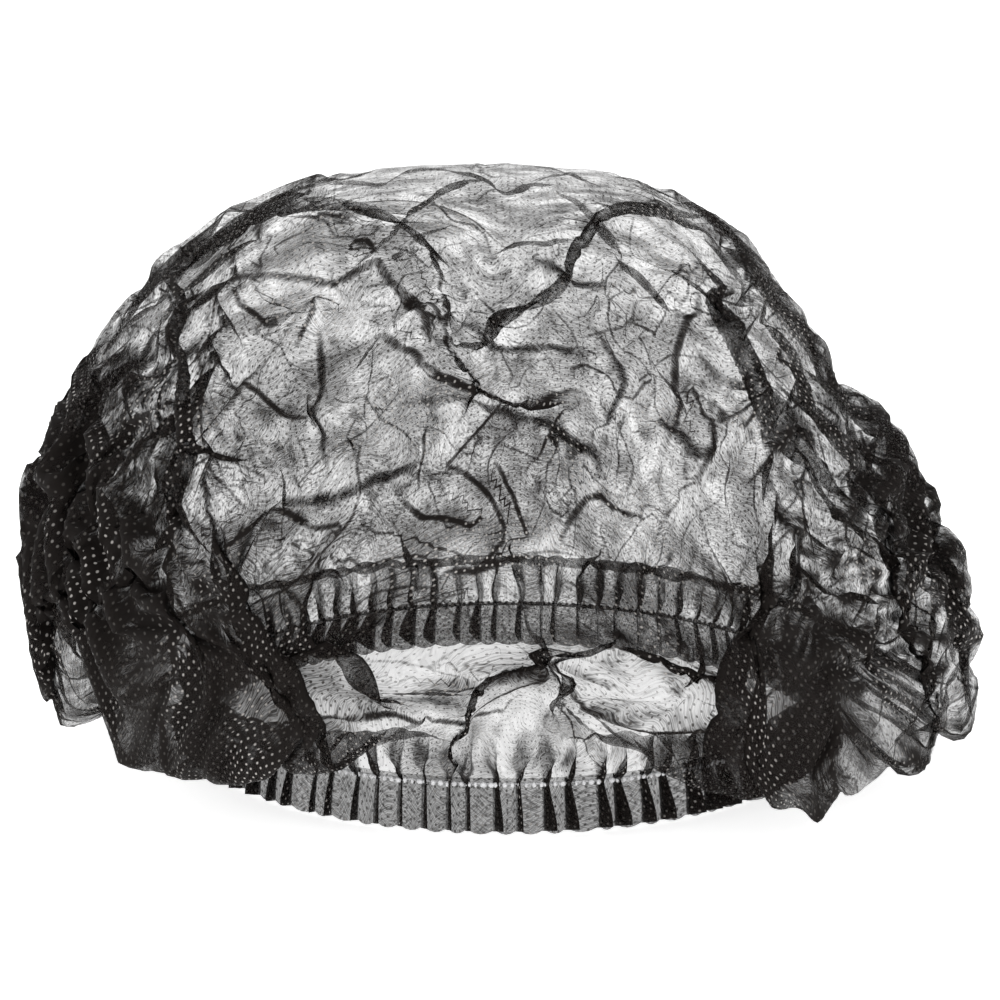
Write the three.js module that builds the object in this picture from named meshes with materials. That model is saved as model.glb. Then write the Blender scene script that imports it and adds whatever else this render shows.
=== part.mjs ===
// Non-woven hair cap: a disc of black spun-bonded cloth, puffed up and gathered by a sewn elastic loop.
// The cap stands on its ruffled hem, with the mouth down and its front towards -Y. Millimetres, +Z up.
import * as THREE from "three";

// Driving dimensions
const wall = 2; // cloth wall, along the plain surface's normal
const pleatCount = 86; // sewn pleats all round the mouth
const gatherCount = 43; // softer folds that the pleats run into
const billowCount = 15; // broad puffs above those
const hemRadius = 77; // ruffled edge that the cap stands on, to the middle of its pleats
const hemPleat = 2.2; // depth of the pleats at that edge, each way
const hemHeight = 11.5; // from that edge up to the elastic
const neckRadius = 71; // mouth where the elastic grips it, to the middle of the pleats
const neckPleat = 0.8; // depth of the squeezed pleats there, each way
const neckHalf = 1.4; // half the height of the gripped neck
const elasticRadius = 0.7; // half the thickness of the elastic
const elasticGap = 0.3; // between the pleats and the elastic
const elasticSides = 6; // flats round the elastic's section
const crownDish = 130; // height of the slack crown in the middle
const gatherUnevenness = 0.3; // share by which the gathers' depth varies round the cap
const gatherCycles = 5; // times that it does so
const billowDrift = 1.4; // how far the billows wander sideways, in radians of their own cycle
const frontSharpness = 4; // powers of the sine that fade the front and the back into the sides
const backSharpness = 2;

// A table's rows as objects with one value for each named column
const table = (columns, rows) =>
  rows.map((row) => Object.fromEntries(columns.map((column, i) => [column, row[i]])));

// Sections of the cap from the hem up to the crown. left, right, front and back are reaches from the
// mouth's axis, zLeft to zBack are the heights there, and pleat, gather and billow are the depths of
// those folds, each way.
const neckLow = hemHeight - neckHalf;
const neckHigh = hemHeight + neckHalf;
const hem = Array(4).fill(hemRadius);
const neck = Array(4).fill(neckRadius);
const reaches = ["left", "right", "front", "back"];
const heights = ["zLeft", "zRight", "zFront", "zBack"];
const sections = table(
  ["name", ...reaches, ...heights, "pleat", "gather", "billow"],
  [
    ["hemEdge", ...hem, 0, 0, 0, 0, hemPleat, 0, 0],
    ["neckFoot", ...neck, neckLow, neckLow, neckLow, neckLow, neckPleat, 0, 0],
    ["neckTop", ...neck, neckHigh, neckHigh, neckHigh, neckHigh, neckPleat, 0, 0],
    ["gatherTop", 78, 78, 75, 77, 19, 19, 22, 20, 1.8, 0.8, 0],
    ["underside", 94, 93, 84, 89, 17, 14, 27, 19, 0.6, 1.8, 0.6],
    ["dropPoint", 104, 102, 91, 97, 15, 11, 32, 21, 0, 2, 1.5],
    ["equator", 111, 106, 96, 102, 42, 26, 54, 46, 0, 1.2, 2.2],
    ["flank", 103, 93, 90, 97, 75, 62, 86, 76, 0, 0.6, 2.2],
    ["shoulder", 85, 74, 73, 84, 105, 96, 112, 101, 0, 0, 1.8],
    ["crownEdge", 60, 50, 50, 61, 124, 120, 129, 119, 0, 0, 1.2],
    ["crownFlat", 31, 27, 27, 33, 133, 131, 135, 129, 0, 0, 0.5],
    ["crownPole", 0, 0, 0, 0, crownDish, crownDish, crownDish, crownDish, 0, 0, 0],
  ],
);

// Main dents and flaps. angle is round the axis from +X in degrees and spread is half the width there.
// section is where the fold is deepest, span how many sections it covers, and lean its turn for each
// section higher up. push is outwards and drop is downwards.
const folds = table(
  ["name", "angle", "spread", "section", "span", "lean", "push", "drop"],
  [
    ["frontValley", -96, 13, "shoulder", 1.1, 6, -12, 2],
    ["leftLobe", -124, 17, "shoulder", 1.1, 3, 5, -2],
    ["rightLobe", -64, 16, "shoulder", 1.1, 5, 6, -2],
    ["lobeCrease", -110, 7, "flank", 0.9, -8, -5, 0],
    ["frontPleat", -72, 6, "flank", 1, -6, -5, 0],
    ["frontTuck", -84, 7, "dropPoint", 1.1, 6, -6, -3],
    ["leftNotch", -160, 6, "dropPoint", 1.2, 4, -8, -4],
    ["leftFlap", -172, 8, "dropPoint", 1, 0, 3, 5],
    ["leftFrontFlap", -143, 9, "dropPoint", 1, 0, -2, 4],
    ["leftCrease", -148, 7, "flank", 1.2, 6, -6, 0],
    ["rightFrontFlap", -48, 10, "dropPoint", 1, 0, 0, 12],
    ["rightNotch", -27, 6, "dropPoint", 1.2, -4, -6, -3],
    ["rightFlap", -10, 9, "dropPoint", 1, 0, 4, 3],
    ["rightCrease", -30, 7, "flank", 1.2, -6, -6, 0],
    ["rightScallop", 4, 8, "shoulder", 0.8, 6, -5, 0],
    ["backCrease", 62, 9, "flank", 1.4, 6, -7, 0],
    ["backTuck", 118, 8, "equator", 1.4, -5, -7, 0],
  ],
);

// Rings of the cloth. A level counts sections from the hem, and above the shoulder half the points do.
const levelOf = (name) => sections.findIndex((section) => section.name === name);
const fineColumns = 2 * pleatCount;
const coarseColumns = pleatCount;
const ringLevels = [0, 1, 2, 3, 4, 5, 5.5, 6, 6.5, 7, 7.5, 8, 8.5, 9, 9.5, 10];
const shoulder = levelOf("shoulder");
const rings = ringLevels.map((level) => ({ level, columns: level > shoulder ? coarseColumns : fineColumns }));
const poleLevel = levelOf("crownPole");

// Shares of the left, right, front and back columns at an angle. The front's share is narrow.
function sharesAt(angle) {
  const sine = Math.sin(angle);
  const front = sine < 0 ? sine ** frontSharpness : 0;
  const back = sine > 0 ? sine ** backSharpness : 0;
  const side = 1 - front - back;
  return Math.cos(angle) < 0
    ? { left: side, right: 0, front, back }
    : { left: 0, right: side, front, back };
}

// Smooth bump that is 1 in the middle and fades to nothing past two half-widths
const bump = (offset, halfWidth) => Math.exp(-((offset / halfWidth) ** 2));

// Signed angle from one direction to another, within half a turn
const turnBetween = (from, to) => Math.atan2(Math.sin(to - from), Math.cos(to - from));

// A section's value at an angle, from its four columns
function around(section, angle, columns) {
  const share = sharesAt(angle);
  return reaches.reduce((sum, side, i) => sum + share[side] * section[columns[i]], 0);
}

// Point of the plain cap at an angle and a level
function plainPoint(angle, level) {
  const profile = sections.map(
    (section) => new THREE.Vector3(around(section, angle, reaches), 0, around(section, angle, heights)),
  );
  const spot = new THREE.CatmullRomCurve3(profile, false, "centripetal").getPoint(level / poleLevel);
  for (const fold of folds) {
    const middle = levelOf(fold.section);
    const course = THREE.MathUtils.degToRad(fold.angle + fold.lean * (level - middle));
    const turn = turnBetween(course, angle);
    const share = bump(turn, THREE.MathUtils.degToRad(fold.spread)) * bump(level - middle, fold.span);
    spot.x += fold.push * share;
    spot.z -= fold.drop * share;
  }
  return new THREE.Vector3(spot.x * Math.cos(angle), spot.x * Math.sin(angle), spot.z);
}

// Outward normal of the plain cap
function plainNormal(angle, level) {
  const turnStep = 0.01;
  const levelStep = 0.02;
  const low = Math.max(level - levelStep, 0);
  const along = plainPoint(angle, level + levelStep).sub(plainPoint(angle, low));
  const round = plainPoint(angle + turnStep, level).sub(plainPoint(angle - turnStep, level));
  return round.cross(along).normalize();
}

// Value of a column of the sections at a level, straight between two sections
function columnAt(column, level) {
  const below = Math.min(Math.floor(level), poleLevel - 1);
  return THREE.MathUtils.lerp(sections[below][column], sections[below + 1][column], level - below);
}

// How far pleats, gathers and billows push the cloth out at an angle and a level
function ruffleAt(angle, level) {
  const uneven = 1 + gatherUnevenness * Math.sin(gatherCycles * angle);
  const drift = billowDrift * Math.sin(2 * angle) + level;
  const pleat = columnAt("pleat", level) * Math.cos(pleatCount * angle);
  const gather = columnAt("gather", level) * uneven * Math.cos(gatherCount * angle);
  const billow = columnAt("billow", level) * Math.sin(billowCount * angle + drift);
  return pleat + gather + billow;
}

// One skin of the cloth as rings of points, sunk into the wall by depth
function skin(depth) {
  return rings.map(({ level, columns }) =>
    Array.from({ length: columns }, (_, i) => {
      const angle = (2 * Math.PI * i) / columns;
      const normal = plainNormal(angle, level);
      if (level === 0) normal.setZ(0).normalize(); // the hem's edge stays flat
      return plainPoint(angle, level).addScaledVector(normal, ruffleAt(angle, level) - depth);
    }),
  );
}

// Triangles between two rings of one skin, where the upper ring may have half as many points
function bandBetween(lower, upper) {
  const triangles = [];
  const step = lower.length / upper.length;
  upper.forEach((b0, i) => {
    const b1 = upper[(i + 1) % upper.length];
    const a = Array.from({ length: step + 1 }, (_, k) => lower[(i * step + k) % lower.length]);
    triangles.push([a[0], a[1], b0], [a[1], b1, b0]);
    if (step === 2) triangles.push([a[1], a[2], b1]);
  });
  return triangles;
}

// Closing fan from the top ring to the pole
const fan = (ring, pole) => ring.map((point, i) => [point, ring[(i + 1) % ring.length], pole]);

// Crown: the cloth as a closed wall, open at the mouth
function crownGeometry() {
  const closed = (rows, depth) => [
    ...rows.slice(1).flatMap((ring, i) => bandBetween(rows[i], ring)),
    ...fan(rows[rows.length - 1], new THREE.Vector3(0, 0, crownDish - depth)),
  ];
  const outer = skin(0);
  const inner = skin(wall);
  const edge = bandBetween(inner[0], outer[0]);
  const inwards = closed(inner, wall).map(([a, b, c]) => [a, c, b]);
  const triangles = [...closed(outer, 0), ...inwards, ...edge];
  return new THREE.BufferGeometry().setFromPoints(triangles.flat());
}

// Elastic: a loop that lies round the squeezed pleats of the neck
function elasticGeometry() {
  const loopRadius = neckRadius + neckPleat + elasticGap + elasticRadius;
  return new THREE.TorusGeometry(loopRadius, elasticRadius, elasticSides, pleatCount);
}

const cloth = new THREE.MeshStandardMaterial({ color: 0x1c1c1e, roughness: 0.9, metalness: 0 });
const rubber = new THREE.MeshStandardMaterial({ color: 0xd8d8dc, roughness: 0.7, metalness: 0 });

const crown = new THREE.Mesh(crownGeometry(), cloth);
crown.name = "crown";
const elastic = new THREE.Mesh(elasticGeometry(), rubber);
elastic.name = "elastic";
elastic.position.z = hemHeight;

// The cap's origin is on the surface it stands on, below the middle of its plan.
const plan = new THREE.Box3().setFromObject(crown).getCenter(new THREE.Vector3());
const cap = new THREE.Group();
cap.add(crown, elastic);
cap.position.set(-plan.x, -plan.y, 0);

export default cap;
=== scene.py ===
# Puffed black non-woven hair cap, standing mouth down on its pleated hem, front towards -Y, +Z up.
# The cloth starts flat, is laid on the puffed form and is then left to buckle and fold.
import math

import bpy
import numpy as np
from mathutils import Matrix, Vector


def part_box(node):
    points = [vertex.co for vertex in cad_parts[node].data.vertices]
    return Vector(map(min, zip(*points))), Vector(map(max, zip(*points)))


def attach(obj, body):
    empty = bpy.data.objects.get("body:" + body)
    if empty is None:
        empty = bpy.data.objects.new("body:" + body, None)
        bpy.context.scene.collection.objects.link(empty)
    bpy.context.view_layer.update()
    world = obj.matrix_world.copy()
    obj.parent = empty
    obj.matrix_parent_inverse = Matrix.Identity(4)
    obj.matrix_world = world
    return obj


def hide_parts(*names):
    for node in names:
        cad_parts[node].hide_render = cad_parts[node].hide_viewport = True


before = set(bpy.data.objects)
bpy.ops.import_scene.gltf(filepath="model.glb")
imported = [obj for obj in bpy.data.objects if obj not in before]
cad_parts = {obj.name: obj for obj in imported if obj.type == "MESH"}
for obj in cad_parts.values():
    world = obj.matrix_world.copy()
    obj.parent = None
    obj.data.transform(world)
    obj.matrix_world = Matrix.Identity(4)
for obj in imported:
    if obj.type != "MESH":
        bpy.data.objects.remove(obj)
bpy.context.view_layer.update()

mm = 0.001
fullTurn = 2 * math.pi
tiny = 1e-9  # keeps a length off zero before it divides

# The mouth's axis and the stitch line are where the CAD elastic is
elasticLow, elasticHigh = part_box("elastic")
mouthCentre = (elasticLow + elasticHigh) / 2
stitchHeight = mouthCentre.z / mm


def softStep(share):
    share = np.clip(share, 0, 1)
    return share * share * (3 - 2 * share)


def between(low, high, share):
    return low + (high - low) * share


def lengthOf(steps):
    return np.linalg.norm(steps, axis=-1)


def turnFrom(start, end):
    return (end - start + math.pi) % fullTurn - math.pi


def turnOff(turn, middle, half):
    # how far round from a middle, in half widths, both in degrees
    return np.degrees(turnFrom(math.radians(middle), turn)) / half


def spotShare(turn, up, spot, power):
    # 1 at a spot on the cap, fading out round it: the higher the power, the flatter its middle
    name, middle, height, halfTurn, halfUp = spot[:5]
    across = np.abs(turnOff(turn, middle, halfTurn))
    return np.exp(-across ** power - np.abs((up - height) / halfUp) ** power)


# Puffed form that the cloth settles on, in millimetres from the mouth's axis
capForm = {
    "mouthReach": 70,
    "frontSharpness": 14,  # the higher, the narrower the raised front
    "backSharpness": 2,
    "steps": 300,  # up each profile
    "rounding": 12, "roundings": 2,  # how many of those steps are evened out, and how often
    "poleReach": 6,  # least reach that lines on the cap are measured with
}
# name, reach at the left, right, front, back, height at the left, right, front, back
capSections = [
    ("stitchLine", *[capForm["mouthReach"]] * 4, *[stitchHeight] * 4),
    ("gatherTop", 77, 77, 74, 76, 20, 20, 22, 21),
    ("underside", 93, 92, 80, 88, 17, 14, 31, 19),
    ("dropPoint", 104, 102, 87, 97, 14, 10, 41, 20),
    ("equator", 111, 106, 96, 102, 42, 27, 60, 46),
    ("flank", 103, 93, 88, 97, 75, 62, 82, 76),
    ("shoulder", 85, 74, 67, 84, 105, 96, 103, 101),
    ("crownEdge", 60, 50, 42, 61, 124, 120, 119, 119),
    ("crownFlat", 30, 26, 20, 32, 133, 131, 128, 130),
    ("crownPole", 0, 0, 0, 0, 132, 132, 132, 132),
]


def rowsAt(rows, place):
    # rows at places between them
    low = np.minimum(place.astype(int), len(rows) - 2)
    part = (place - low)[:, None, None]
    return rows[low] * (1 - part) + rows[low + 1] * part


def capTable():
    # reach and height for each degree round the cap, at even steps along the cloth
    turn = np.radians(np.arange(360))
    sine, cosine = np.sin(turn), np.cos(turn)
    front = np.where(sine < 0, np.abs(sine) ** capForm["frontSharpness"], 0)
    back = np.where(sine > 0, np.abs(sine) ** capForm["backSharpness"], 0)
    side = 1 - front - back
    shares = np.stack([np.where(cosine < 0, side, 0), np.where(cosine < 0, 0, side), front, back])
    rows = np.array([row[1:] for row in capSections], float).reshape(-1, 2, 4) @ shares
    path = rowsAt(rows, np.linspace(0, len(rows) - 1, capForm["steps"] + 1))
    width = capForm["rounding"]
    for _ in range(capForm["roundings"]):
        foot = 2 * path[:1] - path[width:0:-1]
        top = path[-2:-width - 2:-1] * np.array([-1, 1])[:, None]
        wide = np.cumsum(np.concatenate([foot[:1], foot, path, top]), 0)
        path = (wide[2 * width + 1:] - wide[:-2 * width - 1]) / (2 * width + 1)
    run = np.cumsum(np.linalg.norm(np.diff(path, axis=0, prepend=path[:1]), axis=1), 0)
    even = np.linspace(0, 1, len(path))
    table = np.empty((len(path), 360, 2))
    for i in range(360):
        for k in range(2):
            table[:, i, k] = np.interp(even * run[-1, i], run[:, i], path[:, k, i])
    return table, run[-1]


profileTable, profileLength = capTable()


def profileAt(turn, up):
    # reach and height at an angle and a share of the way up
    place = np.clip(up, 0, 1) * (len(profileTable) - 1)
    low = np.minimum(place.astype(int), len(profileTable) - 2)
    part = (place - low)[..., None]
    degree = np.degrees(turn) % 360
    left = degree.astype(int) % 360
    right = (left + 1) % 360
    share = (degree - np.floor(degree))[..., None]
    lower = profileTable[low, left] * (1 - share) + profileTable[low, right] * share
    upper = profileTable[low + 1, left] * (1 - share) + profileTable[low + 1, right] * share
    return lower * (1 - part) + upper * part


def onCap(turn, reach, height):
    return np.stack(np.broadcast_arrays(reach * np.cos(turn), reach * np.sin(turn), height), -1)


def formPoint(turn, up):
    spot = profileAt(turn, up)
    return onCap(turn, spot[..., 0], spot[..., 1])


def nearestPart(parts):
    # distance from the nearest straight part of a line, which side that is, share along the line, and the
    # part's direction. A part is the way from its start to the place, and the way to its end.
    best, side, along, headX, headY = np.inf, 0, 0, 0, 0
    for k, (dx, dy, ex, ey) in enumerate(parts):
        size = np.hypot(ex, ey) + tiny
        share = np.clip((dx * ex + dy * ey) / size ** 2, 0, 1)
        gap = np.hypot(dx - share * ex, dy - share * ey)
        near = gap < best
        best = np.where(near, gap, best)
        side = np.where(near, np.sign(ex * dy - ey * dx), side)
        along = np.where(near, (k + share) / len(parts), along)
        headX = np.where(near, ex / size, headX)
        headY = np.where(near, ey / size, headY)
    return best, side, along, headX, headY


def capLine(points):
    # degrees round and hundredths of the way up, as radians and shares
    return [(math.radians(turn), up / 100) for turn, up in points]


def lineFrame(turn, up, points):
    # signed distance from a line on the cap, share along it, and the line's left-hand direction there
    reach = np.maximum(profileAt(turn, up)[..., 0], capForm["poleReach"])
    tall = np.interp(np.degrees(turn) % 360, np.arange(361), np.append(profileLength, profileLength[0]))
    line = capLine(points)
    parts = []
    for (turn0, up0), (turn1, up1) in zip(line[:-1], line[1:]):
        parts.append((turnFrom(turn0, turn) * reach, (up - up0) * tall,
                      turnFrom(turn0, turn1) * reach, (up1 - up0) * tall))
    best, side, along, headX, headY = nearestPart(parts)
    return best * side, along, -headY / reach, headX / tall


# name, degrees round, share of the way up, half width round in degrees, half height, push out
broadDents = [
    ("frontValley", -92, 0.68, 10, 0.10, -8),
    ("leftLobe", -128, 0.67, 18, 0.12, 5),
    ("rightLobe", -60, 0.68, 16, 0.12, 6),
    ("rightShoulder", 0, 0.58, 30, 0.12, -5),
    ("backCrease", 62, 0.55, 9, 0.16, -7),
    ("backTuck", 118, 0.45, 8, 0.16, -7),
]
# Top edge of the front panel, round the left lobe, down into the valley and round the right lobe, in
# degrees round and hundredths of the way up. The panel stands proud along it.
lobeEdge = {
    "line": [(-168, 66), (-156, 71), (-138, 74), (-120, 74), (-109, 71), (-102, 62), (-99, 56),
             (-94, 61), (-86, 65), (-78, 69), (-74, 74), (-59, 78), (-35, 80), (-20, 75)],
    "ridge": 4, "ridgeWidth": 14, "ends": 0.12,
}


def dentShape(turn, up):
    # how far the broad dents and the lobes' edge push the form out
    out = np.zeros(turn.shape)
    for dent in broadDents:
        out += dent[-1] * spotShare(turn, up, dent, 2)
    gap, along, left, above = lineFrame(turn, up, lobeEdge["line"])
    fade = softStep(np.minimum(along, 1 - along) / lobeEdge["ends"])
    return out + fade * lobeEdge["ridge"] * np.exp(-(gap / lobeEdge["ridgeWidth"]) ** 2)


# Pointed flaps that hang below the bulge, and the notches between them: name, degrees round, share of
# the way up, half width round in degrees, half height, push out, drop
flaps = [
    ("leftFlap", -169, 0.17, 7, 0.07, 1, 14),
    ("leftNotch", -153, 0.18, 6, 0.08, -10, -20),
    ("leftFrontFlap", -142, 0.17, 9, 0.06, 3, 6),
    ("rightFrontFlap", -49, 0.17, 7, 0.07, 1, 7),
    ("rightNotch", -34, 0.18, 4, 0.05, -2, -5),
    ("rightMiddleFlap", -27, 0.17, 6, 0.06, 1, 8),
    ("rightRearNotch", -17, 0.18, 4, 0.05, -4, -6),
    ("rightFlap", -8, 0.17, 7, 0.06, 5, 8),
]


def flapShift(turn, up):
    # how far the flaps reach out, and how far they hang
    out, drop = np.zeros(turn.shape), np.zeros(turn.shape)
    for flap in flaps:
        share = spotShare(turn, up, flap, 1)
        out += flap[-2] * share
        drop += flap[-1] * share
    return onCap(turn, out, -drop)


# The flat disc of cloth
crownCloth = {
    "flatRadius": 243.5,  # middle of the disc to the stitch line
    "denseAt": -0.5, "dense": 0.32,  # where the grid is drawn closer, and how much
    "edgeFade": 22,  # length over which the dents fade out towards the stitch line
    "foldHold": 8,  # how much more the form holds beside a fold
    "lowest": 0.8,  # least height above the floor
    "noiseRounds": 3,  # of smoothing for chance bumps
    "creaseFrom": 0.9, "creaseOver": 0.8,  # bend, in cells, where a crease starts to show, and how fast
    "uvSpan": 600,  # millimetres of flat cloth across the UV square
    "seed": 7,
}
flatRadius = crownCloth["flatRadius"]
rng = np.random.default_rng(crownCloth["seed"])


def onDisc(turn, run):
    return np.stack([run * np.cos(turn), run * np.sin(turn)], -1)


def discGrid(cells):
    # square grid bent into a disc, with cells of nearly one size
    steps = np.linspace(-1, 1, cells + 1)
    a, b = np.meshgrid(steps, steps, indexing="ij")
    wide = np.abs(a) >= np.abs(b)
    ring = np.where(wide, a, b)
    safe = np.where(ring == 0, 1, ring)
    turn = np.where(wide, b / safe, 2 - a / safe) * math.pi / 4
    spots = onDisc(turn, ring)
    toFront = np.array([0, crownCloth["denseAt"]]) - spots
    spots = spots + toFront * (crownCloth["dense"] * (1 - ring * ring) ** 2)[..., None]
    return spots * flatRadius


def discPlace(flat):
    # angle, share of the way up and distance from the middle, for places on the flat cloth
    run = lengthOf(flat)
    return np.arctan2(flat[..., 1], flat[..., 0]), 1 - run / flatRadius, run


def gridNormals(spots):
    normal = np.cross(np.gradient(spots, axis=0), np.gradient(spots, axis=1))
    return normal / (lengthOf(normal)[..., None] + tiny)


def softGrid(grid, half, rounds):
    # running mean over a grid
    for _ in range(rounds):
        for axis in (0, 1):
            line = np.moveaxis(grid, axis, 0)
            wide = np.concatenate([line[:1].repeat(half + 1, 0), line, line[-1:].repeat(half, 0)])
            wide = np.cumsum(wide, 0)
            grid = np.moveaxis((wide[2 * half + 1:] - wide[:-2 * half - 1]) / (2 * half + 1), 0, axis)
    return grid


def softNoise(cells, grain):
    noise = softGrid(rng.standard_normal((cells + 1, cells + 1)), grain // 2, crownCloth["noiseRounds"])
    return noise / noise.std()


def resample(grid, cells):
    # a grid's values at another number of cells, straight between its points
    place = np.linspace(0, len(grid) - 1, cells + 1)
    return rowsAt(rowsAt(grid, place).swapaxes(0, 1), place).swapaxes(0, 1)


# Pleats of the hem, below the stitch line and a little way above it
hem = {
    "pleats": 86,
    "faceShare": 0.16,  # half of a pleat's flat face, as a share of the pleat's cloth
    "faceWidth": 0.41, "faceMost": 0.495,  # the same as a share of its place round the hem, and the most
    "unevenness": 0.22,  # how far the pleats' edges wander, in pleats
    "deep": (0.7, 1.1),  # how much the depth of the folds varies
    "lean": (0.15, 0.5), "leanSeed": 5,  # how far the folds lean over, in pleats
    "stitchReach": 71.9, "stitchDepth": 2.2,  # flat faces, and how far the folds between stand out
    "edgeReach": 73.4, "edgeDepth": 5.2,
    "gatherDepth": 3.8, "gatherFrom": 5.0,  # the same above the stitches, and how far above
    "backCalm": 0.4,  # how much less they stand out at the back
    "edgeHeight": 0.4,
    "edgeRound": 1.8,  # how much higher the edge is at the folds
    "scallop": 0.8,  # and beside them
    "turnUp": 12.0,  # folded up inside, to the raw edge
    "layerGap": 0.5, "foldRise": 0.4,  # between the layers, and how much of it the fold rises
    "fade": 18,  # length over which the pleats open out into the crown
    "outerRows": 5, "innerRows": 6,
    "gathered": 1.3, "gatheredBack": 1.35,  # cloth in the front and back of the hem, for its depth of tone
    "foldCover": 1.8, "backCover": 0.6,  # how much more is in the folds, and the part that the back lacks
}
pleatEdges = np.arange(hem["pleats"] + 1) + hem["unevenness"] * rng.uniform(-1, 1, hem["pleats"] + 1)
pleatEdges[-1] = pleatEdges[0] + hem["pleats"]
pleatDeep = rng.uniform(*hem["deep"], hem["pleats"])
pleatLean = np.random.default_rng(hem["leanSeed"]).uniform(*hem["lean"], hem["pleats"])


def backShare(turn):
    return softStep(np.sin(turn) + 0.5)


def fromMiddle(turn):
    # distance from the middle of a pleat, in pleats
    return np.abs(turn / fullTurn * hem["pleats"] % 1 - 0.5)


def foldShare(turn):
    # 0 on a pleat's flat face, rising to 1 along the folds between
    return np.clip((fromMiddle(turn) - hem["faceShare"]) / (0.5 - hem["faceShare"]), 0, 1)


def foldTone(turn):
    # the same for the tone, which is at its darkest from halfway into the fold
    return softStep(2 * foldShare(turn))


def pleatRing(turn, reach, depth, inset=0):
    # angle and reach of the cloth folded into pleats, with flat faces and narrow folds that stand out
    place = (turn % fullTurn) / fullTurn * hem["pleats"]
    index = np.minimum(place.astype(int), hem["pleats"] - 1)
    part = place - index - 0.5
    face = np.clip(np.abs(part) / hem["faceShare"], 0, 1)
    wall = foldShare(turn)
    pitch = fullTurn * reach / hem["pleats"]
    half = np.minimum(hem["faceWidth"] + inset / pitch, hem["faceMost"])
    low, high = pleatEdges[index], pleatEdges[index + 1]
    middle = (low + high) / 2 + np.sign(part) * (high - low) * (half * face + (0.5 - half) * wall ** 3)
    leaning = np.where(part > 0, pleatLean[index], pleatLean[index - 1])
    middle = middle + leaning * softStep(wall) * depth / hem["edgeDepth"]
    return middle / hem["pleats"] * fullTurn, reach + depth * pleatDeep[index] * softStep(wall) - inset


def gatherShare(run):
    # 0 on the crown, rising to 1 at the stitch line
    return softStep((run - flatRadius + hem["fade"]) / hem["fade"])


def gatherShift(turn, run):
    # how far the pleats move the cloth above the stitch line
    most = hem["gatherDepth"] * (1 - hem["backCalm"] * backShare(turn))
    depth = between(hem["stitchDepth"], most, softStep((flatRadius - run) / hem["gatherFrom"]))
    pleatTurn, pleatReach = pleatRing(turn, hem["stitchReach"], depth)
    bare = onCap(turn, capForm["mouthReach"], stitchHeight)
    return (onCap(pleatTurn, pleatReach, stitchHeight) - bare) * gatherShare(run)[..., None]


def hemFlare(share):
    # reach and depth of the pleats, from the stitch line at 0 to the edge at 1
    flare = math.sin(share * math.pi / 2)
    reach = between(hem["stitchReach"], hem["edgeReach"], flare)
    return reach, between(hem["stitchDepth"], hem["edgeDepth"], flare)


def hemRows(turn):
    # rows of the pleated hem below the stitch line: the outer layer, the fold and the turned-up layer
    rows = []
    drop = stitchHeight - hem["edgeHeight"]
    for k in range(1, hem["outerRows"] + 1):
        share = k / hem["outerRows"]
        rows.append((*hemFlare(share), 0, stitchHeight - drop * share, flatRadius + drop * share))
    for k in range(hem["innerRows"] + 1):
        rise = hem["turnUp"] * (k / hem["innerRows"])
        lift = hem["foldRise"] * hem["layerGap"] if k == 0 else 0
        height = hem["edgeHeight"] + rise + lift
        rows.append((*hemFlare(max(0, 1 - rise / drop)), hem["layerGap"], height, flatRadius + drop + rise))
    spots, flats = [], []
    for reach, depth, inset, height, run in rows:
        pleatTurn, pleatReach = pleatRing(turn, reach, depth, inset)
        low = max(0, 1 - height / stitchHeight)
        standing = np.clip((pleatReach - reach + inset) / depth, 0, 1)
        onFace = np.clip(fromMiddle(turn) / hem["faceShare"], 0, 1)
        rise = hem["edgeRound"] * standing + hem["scallop"] * onFace ** 2
        spots.append(onCap(pleatTurn, pleatReach, height + rise * low ** 2))
        flats.append(onDisc(turn, run))
    return spots, flats


# Lines where the cloth is folded over itself: name, overlap, reach of the pull, which side lies outside,
# shares of the line where it starts and ends, points of degrees round and hundredths of the way up
tucks = [
    ("leftLobeTop", 6.5, 20, -1, 0.15, 0.5, [(-172, 65), (-163, 70), (-150, 74), (-135, 75), (-118, 75),
                                             (-110, 72), (-105, 66), (-101, 59)]),
    ("valleyRight", 8, 18, -1, 0.35, 0.15, [(-101, 57), (-98, 60), (-93, 62), (-88, 65), (-83, 67),
                                            (-78, 70), (-75, 74), (-66, 78), (-52, 80), (-34, 81),
                                            (-18, 77)]),
    ("rightEdge", 17, 30, -1, 0.45, 0.2, [(-14, 77), (-33, 69), (-43, 65), (-45, 58), (-42, 53),
                                          (-33, 42)]),
    ("leftEdge", 12, 26, 1, 0.2, 0.2, [(-166, 67), (-147, 62), (-143, 54), (-131, 48), (-132, 36)]),
    ("bigCrease", 5.5, 18, 1, 0.3, 0.3, [(-111, 60), (-102, 57), (-96, 54), (-87, 53), (-75, 54)]),
    ("starLeft", 5.5, 18, 1, 0.05, 0.05, [(-80, 27), (-82, 22), (-87, 17), (-93, 12), (-101, 5)]),
    ("starRight", 4, 14, -1, 0.05, 0.15, [(-89, 29), (-86, 24), (-83, 18), (-80, 11)]),
    ("leftFlapFold", 27, 46, -1, 0.6, 0.2, [(-128, 46), (-121, 36), (-117, 27), (-116, 14)]),
    ("rightFlapFold", 25, 43, 1, 0.6, 0.2, [(-49, 46), (-56, 36), (-61, 27), (-61, 14)]),
    ("leftDrape", 12, 24, 1, 0.2, 0.25, [(-176, 19), (-160, 25), (-146, 31), (-133, 39)]),
    ("leftRearFold", 9, 26, 1, 0.3, 0.2, [(178, 64), (175, 44), (173, 20)]),
    ("rightSideFold", 13, 20, 1, 0.3, 0.2, [(-26, 46), (-28, 34), (-27, 14)]),
]
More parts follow.
